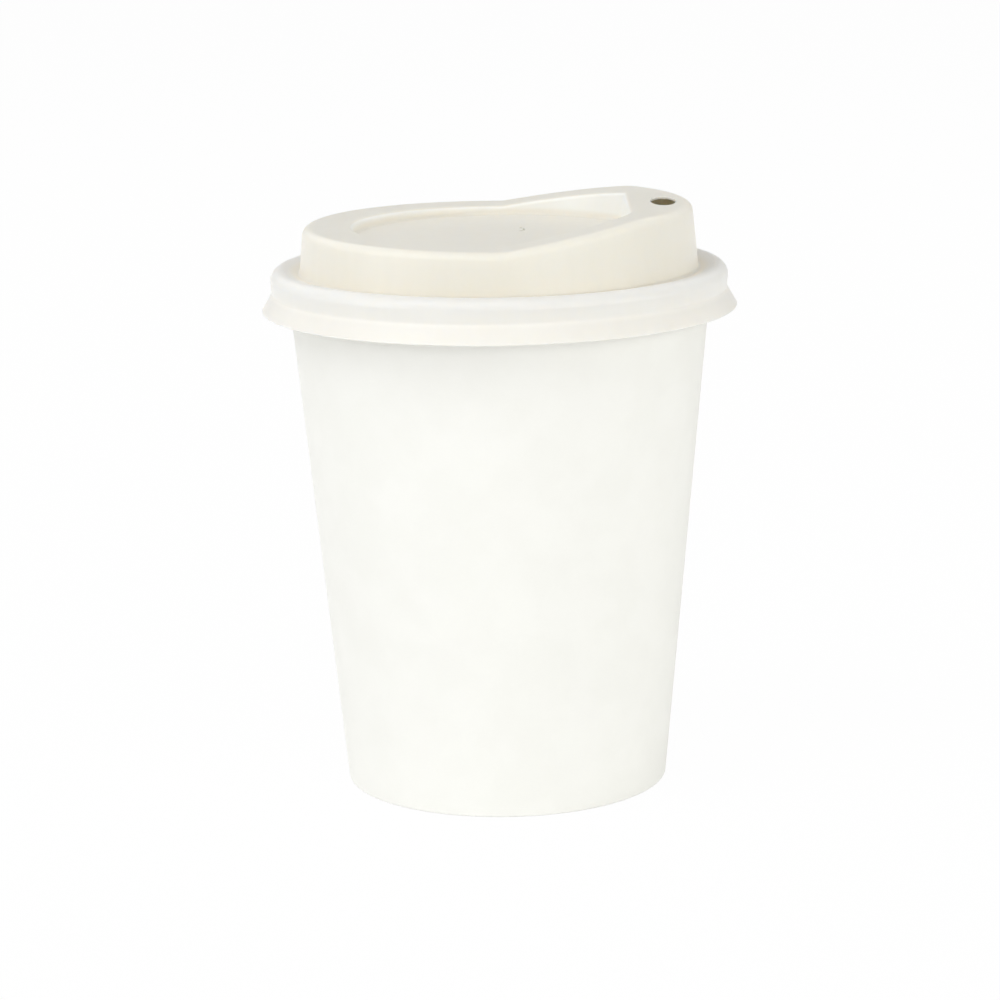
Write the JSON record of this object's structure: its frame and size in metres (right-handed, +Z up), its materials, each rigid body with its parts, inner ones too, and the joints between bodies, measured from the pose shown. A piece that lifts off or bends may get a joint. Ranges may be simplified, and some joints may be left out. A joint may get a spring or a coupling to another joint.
{
  "type": "paper cup",
  "caption": "Tapered paperboard takeaway cup with a rolled rim and a recessed base, closed by a press-fit plastic lid that ramps up to a sip hole.",
  "frame": {"origin": "on the cup's axis, at the surface the cup stands on", "axes": "+Z up along the cup's axis, +X towards the sip hole, +Y towards the back, where the side seam is"},
  "size_m": [0.0842, 0.0842, 0.104],
  "materials": {
    "cup_board": "white paperboard, smooth and faintly fibrous, with a thin waterproof film inside",
    "lid_plastic": "cream thermoformed sheet, satin, slightly translucent"
  },
  "bodies": {
    "cup": {"cup_wall": "cup_board", "cup_base": "cup_board"},
    "lid": {"lid": "lid_plastic"}
  },
  "joints": [
    {"name": "lid_lift", "type": "slide", "parent": "cup", "child": "lid", "axis": [0, 0, 1], "range_m": [0, 0.04]}
  ]
}
